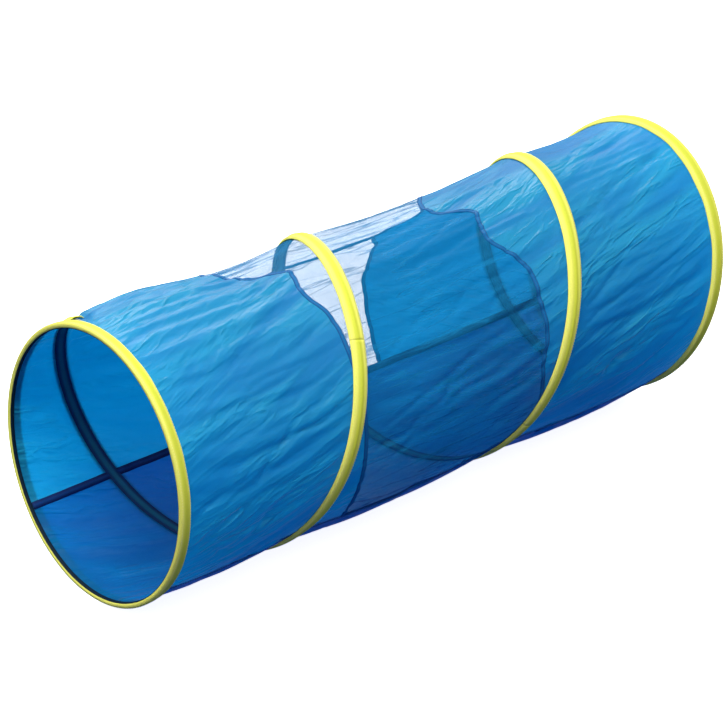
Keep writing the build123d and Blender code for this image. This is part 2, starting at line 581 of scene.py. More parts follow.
@dataclass(frozen=True)
class ClothFinish:
    """Thin woven cloth that lets some light through."""

    name: str
    # The cloth's own blue as a shaded and a lit copy: painted shade in the crease hollows, painted highlight on
    # the crests.
    deep: tuple[float, float, float]
    bright: tuple[float, float, float]
    glow: tuple[float, float, float]
    see_through: float = 0.5
    roughness: float = 0.42
    crease: float = 0.62
    crease_size: float = 0.02
    threads: float = 1500.0

    def build(self) -> bpy.types.Material:
        """Make the material."""
        material, g, surface, output = new_material(self.name)
        uv = g.add("ShaderNodeUVMap", uv_map="UVMap").outputs[0]
        weave = g.add("ShaderNodeGroup", node_tree=shared_group("plain_weave"))
        g.feed(weave.inputs["Vector"], uv)
        g.feed(weave.inputs["Threads per Metre"], self.threads)
        creases = g.add("ShaderNodeGroup", node_tree=shared_group("packed_creases"))
        g.feed(creases.inputs["Vector"], uv)
        g.feed(creases.inputs["Size"], self.crease_size)
        # Painted shade and highlight: the blue is darker in the crease hollows and lighter on the crests.
        tone = g.mix(creases.outputs["Shade"], (*self.deep, 1.0), (*self.bright, 1.0))
        shaded = g.mix(0.35, tone, weave.outputs["Shade"], "MULTIPLY")
        g.feed(surface.inputs["Base Color"], shaded)
        g.feed(
            surface.inputs["Roughness"],
            g.ramp(creases.outputs["Shade"], 0.0, 1.0, self.roughness + 0.08, self.roughness - 0.06),
        )
        surface.inputs["Specular IOR Level"].default_value = 0.42
        surface.inputs["Sheen Weight"].default_value = 0.22
        surface.inputs["Sheen Roughness"].default_value = 0.30
        folds = g.add("ShaderNodeBump", {"Strength": self.crease, "Distance": 0.011})
        g.feed(folds.inputs["Height"], creases.outputs["Height"])
        threads = g.add("ShaderNodeBump", {"Strength": 0.25, "Distance": 0.00025})
        g.feed(threads.inputs["Height"], weave.outputs["Height"])
        g.feed(threads.inputs["Normal"], folds.outputs[0])
        g.feed(surface.inputs["Normal"], threads.outputs[0])
        glow = g.add("ShaderNodeBsdfTranslucent", {"Color": (*self.glow, 1.0)})
        g.feed(glow.inputs["Normal"], threads.outputs[0])
        both = g.add("ShaderNodeMixShader", {0: self.see_through})
        g.feed(both.inputs[1], surface.outputs[0])
        g.feed(both.inputs[2], glow.outputs[0])
        g.feed(output.inputs["Surface"], both.outputs[0])
        return material


@dataclass(frozen=True)
class MeshFinish:
    """Fine see-through mesh, woven in open squares."""

    name: str
    thread: tuple[float, float, float]
    holes_per_metre: float = 520.0
    cover: float = 0.065

    def build(self) -> bpy.types.Material:
        """Make the material."""
        material, g, surface, _ = new_material(self.name)
        uv = g.add("ShaderNodeUVMap", uv_map="UVMap").outputs[0]
        creases = g.add("ShaderNodeGroup", node_tree=shared_group("packed_creases"))
        g.feed(creases.inputs["Vector"], uv)
        g.feed(creases.inputs["Size"], 0.03)
        parts = g.add("ShaderNodeSeparateXYZ", {0: uv})
        solid = None
        for axis in ("X", "Y"):
            cycle = g.math("FRACT", g.times(parts.outputs[axis], self.holes_per_metre))
            middle = g.math("ABSOLUTE", g.math("SUBTRACT", cycle, 0.5))
            thread = g.math("GREATER_THAN", middle, 0.5 - self.cover / 2)
            solid = thread if solid is None else g.math("MAXIMUM", solid, thread)
        # Painted highlight: the thread is lighter on the raised creases and keeps its own colour in their hollows.
        thread_with_painted_highlight = g.mix(
            creases.outputs["Shade"],
            (*self.thread, 1.0),
            (*(min(1.0, c * 1.35) for c in self.thread), 1.0),
        )
        g.feed(surface.inputs["Base Color"], thread_with_painted_highlight)
        surface.inputs["Roughness"].default_value = 0.6
        surface.inputs["Specular IOR Level"].default_value = 0.1
        # Pleats lie over themselves in narrow lengthwise lines, and cover more there.
        lengthwise = g.times(parts.outputs["Y"], 0.09)
        drawn = g.add("ShaderNodeCombineXYZ", {"X": parts.outputs["X"], "Y": lengthwise})
        pleats = g.add(
            "ShaderNodeTexNoise",
            {"Vector": drawn.outputs[0], "Scale": 46.0, "Detail": 2.0, "Roughness": 0.4},
        )
        from_pleat = g.math("ABSOLUTE", g.math("SUBTRACT", pleats.outputs[0], 0.5))
        line = g.ramp(from_pleat, 0.0, 0.022, 0.30, 0.0)
        cover = g.total(g.ramp(solid, 0.0, 1.0, 0.21, 0.92), line)
        g.feed(surface.inputs["Alpha"], g.math("MINIMUM", cover, 0.95))
        folds = g.add("ShaderNodeBump", {"Strength": 0.5, "Distance": 0.003})
        g.feed(folds.inputs["Height"], creases.outputs["Height"])
        g.feed(surface.inputs["Normal"], folds.outputs[0])
        return material


@dataclass(frozen=True)
class TapeFinish:
    """Close woven tape; its UV map's first axis runs across it, from its middle."""

    name: str
    edge: tuple[float, float, float]
    middle: tuple[float, float, float]
    half_width: float
    roughness: float = 0.6
    threads: float = 900.0
    glow: float = 0.0

    def build(self) -> bpy.types.Material:
        """Make the material."""
        material, g, surface, output = new_material(self.name)
        uv = g.add("ShaderNodeUVMap", uv_map="UVMap").outputs[0]
        weave = g.add("ShaderNodeGroup", node_tree=shared_group("plain_weave"))
        g.feed(weave.inputs["Vector"], uv)
        g.feed(weave.inputs["Threads per Metre"], self.threads)
        parts = g.add("ShaderNodeSeparateXYZ", {0: uv})
        across = g.math("DIVIDE", g.math("ABSOLUTE", parts.outputs["X"]), self.half_width)
        from_middle = g.ramp(across, 0.12, 0.62)
        dirt = g.add("ShaderNodeTexNoise", {"Vector": uv, "Scale": 35.0, "Detail": 4.0})
        # Across the tape its middle and edge colours blend; the yellow tape's darker olive middle is painted
        # shade.
        tone = g.mix(from_middle, (*self.middle, 1.0), (*self.edge, 1.0))
        toned = g.mix(0.3, tone, weave.outputs["Shade"], "MULTIPLY")
        aged = g.mix(g.ramp(dirt.outputs[0], 0.45, 0.8, 0.0, 0.16), toned, (*self.middle, 1.0))
        g.feed(surface.inputs["Base Color"], aged)
        surface.inputs["Roughness"].default_value = self.roughness
        surface.inputs["Specular IOR Level"].default_value = 0.2
        bump = g.add("ShaderNodeBump", {"Strength": 0.5, "Distance": 0.0004})
        g.feed(bump.inputs["Height"], weave.outputs["Height"])
        g.feed(surface.inputs["Normal"], bump.outputs[0])
        if self.glow:
            light = g.add("ShaderNodeBsdfTranslucent", {"Color": (*self.edge, 1.0)})
            both = g.add("ShaderNodeMixShader", {0: self.glow})
            g.feed(both.inputs[1], surface.outputs[0])
            g.feed(both.inputs[2], light.outputs[0])
            g.feed(output.inputs["Surface"], both.outputs[0])
        return material


@dataclass(frozen=True)
class ThreadFinish:
    """Sewing thread, or drawn wire when it is metal."""

    name: str
    colour: tuple[float, float, float]
    roughness: float = 0.5
    metallic: float = 0.0

    def build(self) -> bpy.types.Material:
        """Make the material."""
        material, g, surface, _ = new_material(self.name)
        place = g.add("ShaderNodeTexCoord").outputs["Object"]
        drawn = g.add("ShaderNodeTexNoise", {"Vector": place, "Scale": 900.0, "Detail": 2.0})
        lighter = tuple(min(1.0, c * 1.3 + 0.02) for c in self.colour)
        g.feed(
            surface.inputs["Base Color"],
            g.mix(drawn.outputs[0], (*self.colour, 1.0), (*lighter, 1.0)),
        )
        surface.inputs["Metallic"].default_value = self.metallic
        g.feed(
            surface.inputs["Roughness"],
            g.ramp(drawn.outputs[0], 0.3, 0.7, self.roughness, self.roughness + 0.15),
        )
        bump = g.add("ShaderNodeBump", {"Strength": 0.3, "Distance": 0.0002})
        g.feed(bump.inputs["Height"], drawn.outputs[0])
        g.feed(surface.inputs["Normal"], bump.outputs[0])
        return material


@dataclass
class Wardrobe:
    """Every finish of the tunnel, built once."""

    # Cloth colours: a shaded copy and a lit copy of the blue, for painted shade and highlight on the creases, then
    # the colour of light through it.
    nylon: ClothFinish = ClothFinish(
        "blue nylon", (0.0, 0.21, 0.44), (0.016, 0.37, 0.53), (0.0, 0.55, 0.86)
    )
    floor_nylon: ClothFinish = ClothFinish(
        "floor nylon", (0.0, 0.13, 0.34), (0.002, 0.22, 0.46), (0.0, 0.34, 0.78), see_through=0.42
    )
    mesh: MeshFinish = MeshFinish("window mesh", (0.003, 0.165, 0.35))
    # The yellow tape's olive middle is painted shade from the wire behind it and its ridge; its edges keep the
    # tape's own yellow.
    yellow: TapeFinish = TapeFinish(
        "yellow tape", (0.88, 0.86, 0.15), (0.64, 0.68, 0.05), TAPE_WIDTH / 2, glow=0.12
    )
    lining: TapeFinish = TapeFinish(
        "dark lining tape", (0.0, 0.028, 0.11), (0.006, 0.12, 0.20), 10 * MM, glow=0.15
    )
    # The rim lining is the navy lining, painted near black as shade for the hoop's shadowed inner edge.
    rim_lining: TapeFinish = TapeFinish(
        "rim lining tape", (0.0, 0.010, 0.022), (0.0, 0.018, 0.04), 4 * MM
    )
    hem: TapeFinish = TapeFinish(
        "hem binding", (0.0, 0.09, 0.27), (0.0, 0.14, 0.36), 5 * MM, glow=0.15
    )
    binding: TapeFinish = TapeFinish(
        "navy binding", (0.0, 0.014, 0.085), (0.0, 0.03, 0.14), 5 * MM
    )
    yellow_thread: ThreadFinish = ThreadFinish("yellow thread", (0.80, 0.78, 0.25))
    navy_thread: ThreadFinish = ThreadFinish("navy thread", (0.0, 0.06, 0.22))
    wire: ThreadFinish = ThreadFinish("spring wire", (0.42, 0.42, 0.43), 0.3, 1.0)
    crimp: ThreadFinish = ThreadFinish("crimped sleeve", (0.62, 0.62, 0.62), 0.35, 1.0)
    made: dict[str, bpy.types.Material] = field(default_factory=dict)

    def get(self, name: str) -> bpy.types.Material:
        """The material of a finish, built on first use."""
        if name not in self.made:
            self.made[name] = getattr(self, name).build()
        return self.made[name]


# --------------------------------------------------------------------------- dressing


@dataclass
class Dresser:
    """Gives pieces their finish and body."""

    wardrobe: Wardrobe
    travel: float
    front_anchor: float
    shares: dict[Body, float]

    @classmethod
    def from_frame(cls, wardrobe: Wardrobe) -> "Dresser":
        """Read how far each body slides when the tunnel collapses.

        Args:
            wardrobe: The finishes.

        Returns:
            The dresser.
        """
        joints = {j["name"]: j for j in frame["joints"]}
        travel = -joints[COLLAPSE]["range_m"][0]
        couplings = frame["record"]["behaviour"]["couplings"]
        middle = next(c["ratio"] for c in couplings if joints[c["joint"]]["child"] == Body.MIDDLE.value)
        hinge = joints["front_mouth_tilt"]["pos_m"][0]
        shares = {Body.FRONT: 0.0, Body.MIDDLE: middle, Body.REAR: 1.0}
        return cls(wardrobe, travel, hinge + STACK_INSET, shares)

    def dress(
        self,
        piece: bpy.types.Object,
        finish: str,
        slot: Slot,
        body: Body,
        nodes: Sequence[str] = (),
    ) -> bpy.types.Object:
        """Finish a piece and fix it to its body.

        Args:
            piece: The piece, its mesh final.
            finish: Name of its finish in the wardrobe.
            slot: The record's material slot; not used.
            body: The body that it rides on.
            nodes: CAD nodes that it stands for.

        Returns:
            The piece.
        """
        piece.data.materials.clear()
        piece.data.materials.append(self.wardrobe.get(finish))
        piece.data.polygons.foreach_set("material_index", [0] * len(piece.data.polygons))
        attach(piece, body.value)
        if body in self.shares:
            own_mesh(piece)
        if nodes:
            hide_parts(*nodes)
        LOG.info("%s: %d faces on %s", piece.name, len(piece.data.polygons), body.value)
        return piece


# --------------------------------------------------------------------------- the cloth tube


@dataclass
class TubeCloth:
    """The whole tube of cloth between the mouths, as one drawn and creased surface."""

    form: TubeForm
    rows: int = 190
    columns: int = 248
    end_inset: float = 8 * MM
    sewn_reach: float = 10 * MM     # cloth this close to a wire is sewn to it
    waist: float = 1 * MM           # how far a bay of cloth draws in
    sag: float = 15 * MM            # how far its weight drops it between the wires
    puff: float = 18 * MM           # how far the cloth stands up behind the front hoop
    puff_station: float = 147 * MM
    puff_reach: float = 112 * MM
    puff_angle: float = 112.0
    puff_spread: float = 52.0
    slack: float = 0.038            # how much wider the cloth is cut than the tube is round
    skew: float = 0.022             # how far it is cut off the straight
    frames: int = 26
    seed: int = 5
    grid: np.ndarray = field(init=False)

    def __post_init__(self) -> None:
        """Lay out the grid and drape it."""
        self.stations = np.linspace(self.end_inset, self.form.length - self.end_inset, self.rows)
        self.angles = FIRST_ANGLE + FULL_TURN * np.arange(self.columns) / self.columns
        self.reach, share, self.span = self.bays()
        self.swell = np.sin(math.pi * share) ** 0.8
        self.loose = np.clip((self.reach - self.sewn_reach) / (14 * MM), 0.0, 1.0)
        start = self.drawn()
        self.grid = self.simulate(start)

    def bays(self) -> tuple[np.ndarray, np.ndarray, np.ndarray]:
        """Place every point of the grid between the wires beside it.

        Returns:
            Distance to the nearest wire, share of the way across the bay, and the bay's length.
        """
        shape = (self.rows, self.columns)
        reach, share, span = np.zeros(shape), np.zeros(shape), np.zeros(shape)
        slope = self.form.pitch_slope
        for j, angle in enumerate(self.angles):
            wires = self.form.wire_stations(float(angle))
            k = np.clip(np.searchsorted(wires, self.stations) - 1, 0, len(wires) - 2)
            low, high = wires[k], wires[k + 1]
            reach[:, j] = np.minimum(abs(self.stations - low), abs(high - self.stations)) * slope
            share[:, j] = np.clip((self.stations - low) / (high - low), 0.0, 1.0)
            span[:, j] = high - low
        return reach, share, span

    def slack_radius(self) -> np.ndarray:
        """Radius of the cloth between the wires, before it folds."""
        s, a = self.stations[:, None], self.angles[None, :]
        size = np.clip(self.span / SPIRAL_PITCH, 0.05, 1.0)
        near_puff = ((s - self.puff_station) / self.puff_reach) ** 2
        near_puff = -near_puff - ((a - self.puff_angle) / self.puff_spread) ** 2
        puff = self.puff * np.exp(near_puff)
        drop = self.sag * np.sin(np.radians(a)) * (1.0 - 0.45 * np.clip(s / self.form.length, 0.0, 1.0))
        drop = np.where(drop < 0.0, self.sag * np.sin(np.radians(a)), drop)
        drawn_in = (drop + self.waist) * self.swell * size
        return self.form.cloth_radius + (puff - drawn_in) * self.loose

    def drawn(self) -> np.ndarray:
        """The cloth drawn in between the wires and gathered into long folds.

        Returns:
            The grid's points.
        """
        s = self.stations[:, None]
        a = self.angles[None, :]
        arc = np.radians(a) * self.form.radius
        turn = 2 * math.pi * self.form.radius
        # Folds run along the tunnel and fan out of the wires, and some cross at a slant.
        folds = np.zeros_like(self.reach)
        for count, slope, height, phase in (
            (14, 0.26, 4.2, 0.3),
            (25, 0.34, 3.0, 1.9),
            (43, 0.20, 1.5, 4.0),
        ):
            drift = smooth_noise(s, arc, (0.45, 0.28), self.seed + count, 3)
            along_fold = (arc - slope * s) / turn * 2 * math.pi
            wave = np.sin(0.5 * (count * along_fold + 4.5 * drift + phase))
            patch = 0.45 + 0.9 * smooth_noise(s, arc, (0.3, 0.2), self.seed * 3 + count, 2)
            valley = 0.25 - np.exp(-np.abs(wave) * 3.2) * 1.9
            folds += height * MM * valley * np.clip(patch, 0.0, 1.4)
        folds *= self.swell**0.5 * np.clip(self.reach / (40 * MM), 0.0, 1.0)
        return self.grounded(self.form.point(s, a, self.slack_radius() + folds * self.loose))

    def cut(self) -> np.ndarray:
        """The shape that the cloth was cut to: wider round, shorter along, and skewed.

        Returns:
            The grid's points, whose distances are the cloth's own.
        """
        s = self.stations[:, None]
        a = self.angles[None, :]
        arc = np.radians(a) * self.form.radius
        patch = smooth_noise(s, arc, (0.30, 0.26), self.seed + 40, 2)
        skew = np.degrees(-self.skew * s / self.form.radius)
        stray = 1.2 * smooth_noise(s, arc, (0.5, 0.5), self.seed + 70, 1)
        wide = 1.0 + self.slack * (1.0 + 0.4 * patch)
        return self.form.point(s * 0.996, a + skew + stray, self.slack_radius() * wide)

    def simulate(self, start: np.ndarray) -> np.ndarray:
        """Let the drawn cloth settle as cloth does, sewn to its wires.

        Args:
            start: The drawn grid.

        Returns:
            The settled grid, near the drawn one.
        """
        mesh = bpy.data.meshes.new("cloth_tube")
        mesh.from_pydata(start.reshape(-1, 3).tolist(), [], grid_faces(self.rows, self.columns, True))
        mesh.update()
        piece = link("cloth_tube", mesh)
        piece.shape_key_add(name="Drawn")
        cut = piece.shape_key_add(name="Cut")
        cut.data.foreach_set("co", self.cut().astype(np.float32).ravel())
        cut.value = 0.0
        sewn = piece.vertex_groups.new(name="sewn")
        held = np.flatnonzero(self.reach.ravel() < self.sewn_reach)
        sewn.add([int(i) for i in held], 1.0, "REPLACE")
        cloth = piece.modifiers.new("drape", "CLOTH")
        settings = cloth.settings
        settings.quality = 5
        settings.mass = 0.12
        settings.tension_stiffness = 30.0
        settings.compression_stiffness = 6.0
        settings.shear_stiffness = 8.0
        settings.bending_stiffness = 0.06
        settings.tension_damping = 8.0
        settings.compression_damping = 8.0
        settings.shear_damping = 8.0
        settings.air_damping = 3.0
        settings.vertex_group_mass = sewn.name
        settings.rest_shape_key = cut
        settings.effector_weights.gravity = 0.12
        scene = bpy.context.scene
        scene.frame_start, scene.frame_end = 1, self.frames
        cloth.point_cache.frame_start, cloth.point_cache.frame_end = 1, self.frames
        for frame_number in range(1, self.frames + 1):
            scene.frame_set(frame_number)
        graph = bpy.context.evaluated_depsgraph_get()
        settled = piece.evaluated_get(graph).to_mesh()
        points = np.zeros(len(settled.vertices) * 3, np.float32)
        settled.vertices.foreach_get("co", points)
        bpy.data.objects.remove(piece)
        scene.frame_set(1)
        return self.capped(points.reshape(self.rows, self.columns, 3).astype(float), start)

    def broad(self, move: np.ndarray, reach: int = 9) -> np.ndarray:
        """The slow part of a movement, which would change the tube's own form.

        Args:
            move: Movement of each point of the grid.
            reach: How many points away count.

        Returns:
            The movement, averaged over its surroundings.
        """
        weights = np.hanning(2 * reach + 3)[1:-1]
        weights /= weights.sum()
        offsets = range(-reach, reach + 1)
        around = sum(w * np.roll(move, k, axis=1) for k, w in zip(offsets, weights))
        padded = np.pad(around, ((reach, reach), (0, 0), (0, 0)), mode="edge")
        return sum(w * padded[reach + k : reach + k + self.rows] for k, w in zip(offsets, weights))

    def capped(self, settled: np.ndarray, start: np.ndarray, most: float = 14 * MM) -> np.ndarray:
        """Keep settled cloth near where it started, and inside the tape.

        Args:
            settled: The grid after it has settled.
            start: The grid before.
            most: How far a point may move.

        Returns:
            The grid within its limits.
        """
        move = settled - start
        move -= self.broad(move)
        size = np.linalg.norm(move, axis=-1, keepdims=True)
        kept = start + move * np.minimum(1.0, most / np.maximum(size, 1e-9))
        LOG.info("cloth moved %.1f mm at most, %.1f mm on average", size.max() * 1e3, size.mean() * 1e3)
        across = kept[..., 1]
        up = kept[..., 2] - self.form.axis_height
        radius = np.hypot(across, up)
        ceiling = self.form.cloth_radius + np.clip(self.reach - 13 * MM, 0.0, 40 * MM) * 0.55
        factor = np.minimum(1.0, ceiling / radius)
        kept[..., 1] = across * factor
        kept[..., 2] = up * factor + self.form.axis_height
        return self.grounded(kept)

    def grounded(self, points: np.ndarray) -> np.ndarray:
        """Lay cloth that hangs below the floor on the floor."""
        points[..., 2] = np.maximum(points[..., 2], CLOTH_THICKNESS + 0.4 * MM)
        return points

    def at(self, station: np.ndarray, angle: np.ndarray, lift: float | np.ndarray = 0.0) -> np.ndarray:
        """Points on the settled cloth, or a little off it.

        Args:
            station: Distance from the front mouth.
            angle: Degrees round the tube.
            lift: Distance outwards from the cloth's middle.

        Returns:
            An array whose last axis is x, y, z.
        """
        station, angle, lift = np.broadcast_arrays(
            np.asarray(station, float), np.asarray(angle, float), np.asarray(lift, float)
        )
        point = self.sample(station, angle)
        if np.any(lift):
            step_along, step_round = 2 * MM, 0.6
            along = self.sample(station + step_along, angle) - self.sample(station - step_along, angle)
            around = self.sample(station, angle + step_round) - self.sample(station, angle - step_round)
            normal = np.cross(around, along)
            normal /= np.maximum(np.linalg.norm(normal, axis=-1, keepdims=True), 1e-12)
            radial = point.copy()
            radial[..., 0] = 0.0
            radial[..., 2] -= self.form.axis_height
            normal *= np.sign((normal * radial).sum(-1, keepdims=True))
            point = point + normal * lift[..., None]
        return point

    def sample(self, station: np.ndarray, angle: np.ndarray) -> np.ndarray:
        """Points on the settled cloth, smooth between the grid's own points."""
        u = (station - self.stations[0]) / (self.stations[1] - self.stations[0])
        v = (angle - self.angles[0]) / (FULL_TURN / self.columns)
        u = np.clip(u, 0.0, self.rows - 1.0)
        i = np.clip(np.floor(u).astype(int), 0, self.rows - 2)
        j = np.floor(v).astype(int)
        fu, fv = u - i, v - j
        result = np.zeros(station.shape + (3,))
        for a, wa in enumerate(spline_weights(fu)):
            row = np.clip(i + a - 1, 0, self.rows - 1)
            for b, wb in enumerate(spline_weights(fv)):
                column = np.mod(j + b - 1, self.columns)
                result += (wa * wb)[..., None] * self.grid[row, column]
        return result


def spline_weights(t: np.ndarray) -> tuple[np.ndarray, ...]:
    """Weights of the four points round a share of the way, for a curve through them."""
    return (
        0.5 * (-t + 2 * t**2 - t**3),
        0.5 * (2 - 5 * t**2 + 3 * t**3),
        0.5 * (t + 4 * t**2 - 3 * t**3),
        0.5 * (-(t**2) + t**3),
    )


@dataclass(frozen=True)
class Hemline:
    """A scalloped edge of the mesh band, as points of (angle, station in millimetres)."""

    points: tuple[tuple[float, float], ...]

    def station(self, angle: np.ndarray) -> np.ndarray:
        """Station of the hem at each angle, in metres."""
        angle = np.asarray(angle, float)
        at = np.array([p[0] for p in self.points])
        value = np.array([p[1] for p in self.points]) * MM
        k = np.clip(np.searchsorted(at, angle) - 1, 0, len(at) - 2)
        slope = np.gradient(value, at)
        width = at[k + 1] - at[k]
        t = np.clip((angle - at[k]) / width, 0.0, 1.0)
        return (
            (1 + 2 * t) * (1 - t) ** 2 * value[k]
            + t * (1 - t) ** 2 * width * slope[k]
            + t * t * (3 - 2 * t) * value[k + 1]
            + t * t * (t - 1) * width * slope[k + 1]
        )


FRONT_HEM = Hemline(
    ((-42, 326), (0, 326), (40, 326), (53, 328), (60, 326), (66, 320), (74, 318), (84, 329), (88, 330),
     (92, 297), (97, 274), (104, 262), (125, 267), (160, 302), (222, 326))
)
BACK_HEM = Hemline(
    ((-42, 660), (-12, 660), (2, 653), (16, 662), (30, 660), (44, 660), (56, 642), (63, 629), (75, 638),
     (84, 644), (90, 612), (98, 603), (105, 612), (125, 662), (146, 712), (154, 702), (157, 657),
     (165, 654), (180, 646), (190, 650), (206, 655), (222, 657))
)


# --------------------------------------------------------------------------- sub-assemblies


@dataclass
class Panels:
    """The cloth panels: two of nylon above, the mesh band between them, and the floor."""

    cloth: TubeCloth
    dresser: Dresser
    along_step: float = 3.6 * MM
    round_step: float = 1.05        # degrees

    def front_edge(self, angle: np.ndarray) -> np.ndarray:
        """Station of the cloth's edge in the front mouth."""
        return np.full_like(angle, self.cloth.end_inset)

    def back_edge(self, angle: np.ndarray) -> np.ndarray:
        """Station of the cloth's edge in the back mouth."""
        return np.full_like(angle, self.cloth.form.length - self.cloth.end_inset)

    def panel(
        self,
        name: str,
        start: Callable[[np.ndarray], np.ndarray],
        end: Callable[[np.ndarray], np.ndarray],
        first: float,
        last: float,
    ) -> bpy.types.Object:
        """One panel over the cloth, with a wall.

        Args:
            name: The piece's name.
            start: Station of its front edge at each angle.
            end: Station of its back edge at each angle.
            first: Angle of its first side edge.
            last: Angle of its last side edge.

        Returns:
            The piece.
        """
        columns = int((last - first) / self.round_step) + 1
        angle = np.linspace(first, last, columns)
        low, high = start(angle), end(angle)
        rows = int(float(np.mean(high - low)) / self.along_step) + 2
        share = np.linspace(0.0, 1.0, rows)[:, None]
        station = low[None, :] * (1 - share) + high[None, :] * share
        angles = np.broadcast_to(angle[None, :], station.shape)
        points = self.cloth.at(station, angles)
        uv = np.stack([np.radians(angles) * self.cloth.form.radius, station], -1)
        piece = link(name, mesh_from_grid(name, points[:, ::-1], uv[:, ::-1]))
        thicken(piece, CLOTH_THICKNESS)
        return settle(piece)

    def build(self) -> None:
        upper = (NEAR_SEAM, FAR_SEAM)
        lower = (FAR_SEAM - FULL_TURN, NEAR_SEAM)
        front, back = self.front_edge, self.back_edge
        band = (FRONT_HEM.station, BACK_HEM.station)
        plans = (
            ("front_upper", "front_upper_panel", front, band[0], upper, "nylon", Slot.NYLON, Body.FRONT),
            ("mesh_band", "mesh_window", *band, upper, "mesh", Slot.MESH, Body.MIDDLE),
            ("rear_upper", "rear_upper_panel", band[1], back, upper, "nylon", Slot.NYLON, Body.REAR),
            ("floor_cloth", "floor_panel", front, back, lower, "floor_nylon", Slot.FLOOR, Body.MIDDLE),
        )
        for name, node, start, end, (first, last), finish, slot, body in plans:
            piece = self.panel(name, start, end, first, last)
            self.dresser.dress(piece, finish, slot, body, (node,))
            middle = np.linspace(first, last, 90)
            length = float(np.mean(end(middle) - start(middle)))


def slab(
    name: str,
    middle: np.ndarray,
    across: np.ndarray,
    normal: np.ndarray,
    width: float,
    thickness: float,
) -> bpy.types.Mesh:
    """A flat strip with rounded edges, along a line.

    Args:
        name: The mesh's name.
        middle: Points along the line.
        across: Unit vectors across the strip, one for each point.
        normal: Unit vectors off its face.
        width: Its width.
        thickness: Its thickness.

    Returns:
        The mesh, closed, with a UV map whose first axis runs across from the middle.
    """
    half, thin = width / 2, thickness / 2
    section = (
        (-1.0, 0.0), (-0.96, 0.8), (-0.7, 1.0), (-0.25, 0.86), (0.25, 0.86), (0.7, 1.0), (0.96, 0.8),
        (1.0, 0.0), (0.96, -0.8), (0.0, -1.0), (-0.96, -0.8),
    )
    offsets = np.array(section)
    points = (
        middle[:, None, :]
        + across[:, None, :] * (offsets[None, :, :1] * half)
        + normal[:, None, :] * (offsets[None, :, 1:] * thin)
    )
    steps = np.linalg.norm(np.diff(middle, axis=0), axis=-1)
    length = np.concatenate([[0.0], np.cumsum(steps)])
    uv = np.stack(np.broadcast_arrays(offsets[None, :, 0] * half, length[:, None]), -1)
    mesh = mesh_from_grid(name, points, uv, closed=True)
    face_outwards(mesh)
    return mesh


@dataclass
class StitchRows:
    """Rows of stitches along the tape, hems and seams, one mesh for each body and thread."""

    dresser: Dresser
    tree: bpy.types.NodeTree = field(init=False)
    rows: dict[tuple[Body, str], list[tuple[np.ndarray, np.ndarray]]] = field(default_factory=dict)

    def __post_init__(self) -> None:
        """Build the tree that lays stitches on a path."""
        self.tree = self.stitch_tree()

    @staticmethod
    def stitch_tree() -> bpy.types.NodeTree:
        """A tree that sets evenly spaced stitches along the edges of a mesh.

        Returns:
            The tree. The mesh's "off_face" attribute points away from the cloth.
        """
        tree, g, source, sink = group_tree(
            "stitch_rows",
            "GeometryNodeTree",
            {
                "Paths": "NodeSocketGeometry",
                "Pitch": 4 * MM,
                "Stitch Length": 2.9 * MM,
                "Thread Width": 0.7 * MM,
                "Thread Height": 0.55 * MM,
                "Thread": "NodeSocketMaterial",
            },
            {"Stitches": "NodeSocketGeometry"},
        )
        curve = g.add("GeometryNodeMeshToCurve", {0: source.outputs["Paths"]})
        spaced = g.add(
            "GeometryNodeResampleCurve",
            {"Curve": curve.outputs[0], "Length": source.outputs["Pitch"]},
            mode="LENGTH",
        )
        off_face = g.add(
            "GeometryNodeInputNamedAttribute", {"Name": "off_face"}, data_type="FLOAT_VECTOR"
        )
        tangent = g.add("GeometryNodeInputTangent")
        along = g.add("FunctionNodeAlignRotationToVector", {"Vector": tangent.outputs[0]}, axis="X")
        stood = g.add(
            "FunctionNodeAlignRotationToVector",
            {"Rotation": along.outputs[0], "Vector": off_face.outputs[0]},
            axis="Z",
            pivot_axis="X",
        )
        bead = g.add("GeometryNodeMeshUVSphere", {"Segments": 6, "Rings": 4, "Radius": 0.5})
        size = g.add(
            "ShaderNodeCombineXYZ",
            {
                "X": source.outputs["Stitch Length"],
                "Y": source.outputs["Thread Width"],
                "Z": source.outputs["Thread Height"],
            },
        )
        placed = g.add(
            "GeometryNodeInstanceOnPoints",
            {
                "Points": spaced.outputs[0],
                "Instance": bead.outputs[0],
                "Rotation": stood.outputs[0],
                "Scale": size.outputs[0],
            },
        )
        real = g.add("GeometryNodeRealizeInstances", {0: placed.outputs[0]})
        smooth = g.add("GeometryNodeSetShadeSmooth", {0: real.outputs[0]})
        finished = g.add(
            "GeometryNodeSetMaterial",
            {"Geometry": smooth.outputs[0], "Material": source.outputs["Thread"]},
        )
        g.feed(sink.inputs["Stitches"], finished.outputs[0])
        return tree

    def add(self, body: Body, thread: str, path: np.ndarray, off_face: np.ndarray) -> None:
        """Ask for a row of stitches.

        Args:
            body: The body that the row rides on.
            thread: The thread's finish.
            path: Points along the row.
            off_face: Unit vectors away from the cloth.
        """
        self.rows.setdefault((body, thread), []).append((path, off_face))

    def build(self) -> None:
        """Sew every row."""
        slots = {"yellow_thread": Slot.TAPE, "navy_thread": Slot.BINDING}
        for (body, thread), rows in self.rows.items():
            name = f"{body.value}_{thread}"
            points, edges = [], []
            for path, _ in rows:
                base = len(points)
                points.extend(path.tolist())
                edges.extend((base + i, base + i + 1) for i in range(len(path) - 1))
            mesh = bpy.data.meshes.new(name)
            mesh.from_pydata(points, edges, [])
            off_face = np.concatenate([row[1] for row in rows])
            layer = mesh.attributes.new("off_face", "FLOAT_VECTOR", "POINT")
            layer.data.foreach_set("vector", off_face.astype(np.float32).ravel())
            material = self.dresser.wardrobe.get(thread)
            piece = grown(name, self.tree, {"Thread": material}, mesh)
            self.dresser.dress(piece, thread, slots[thread], body)


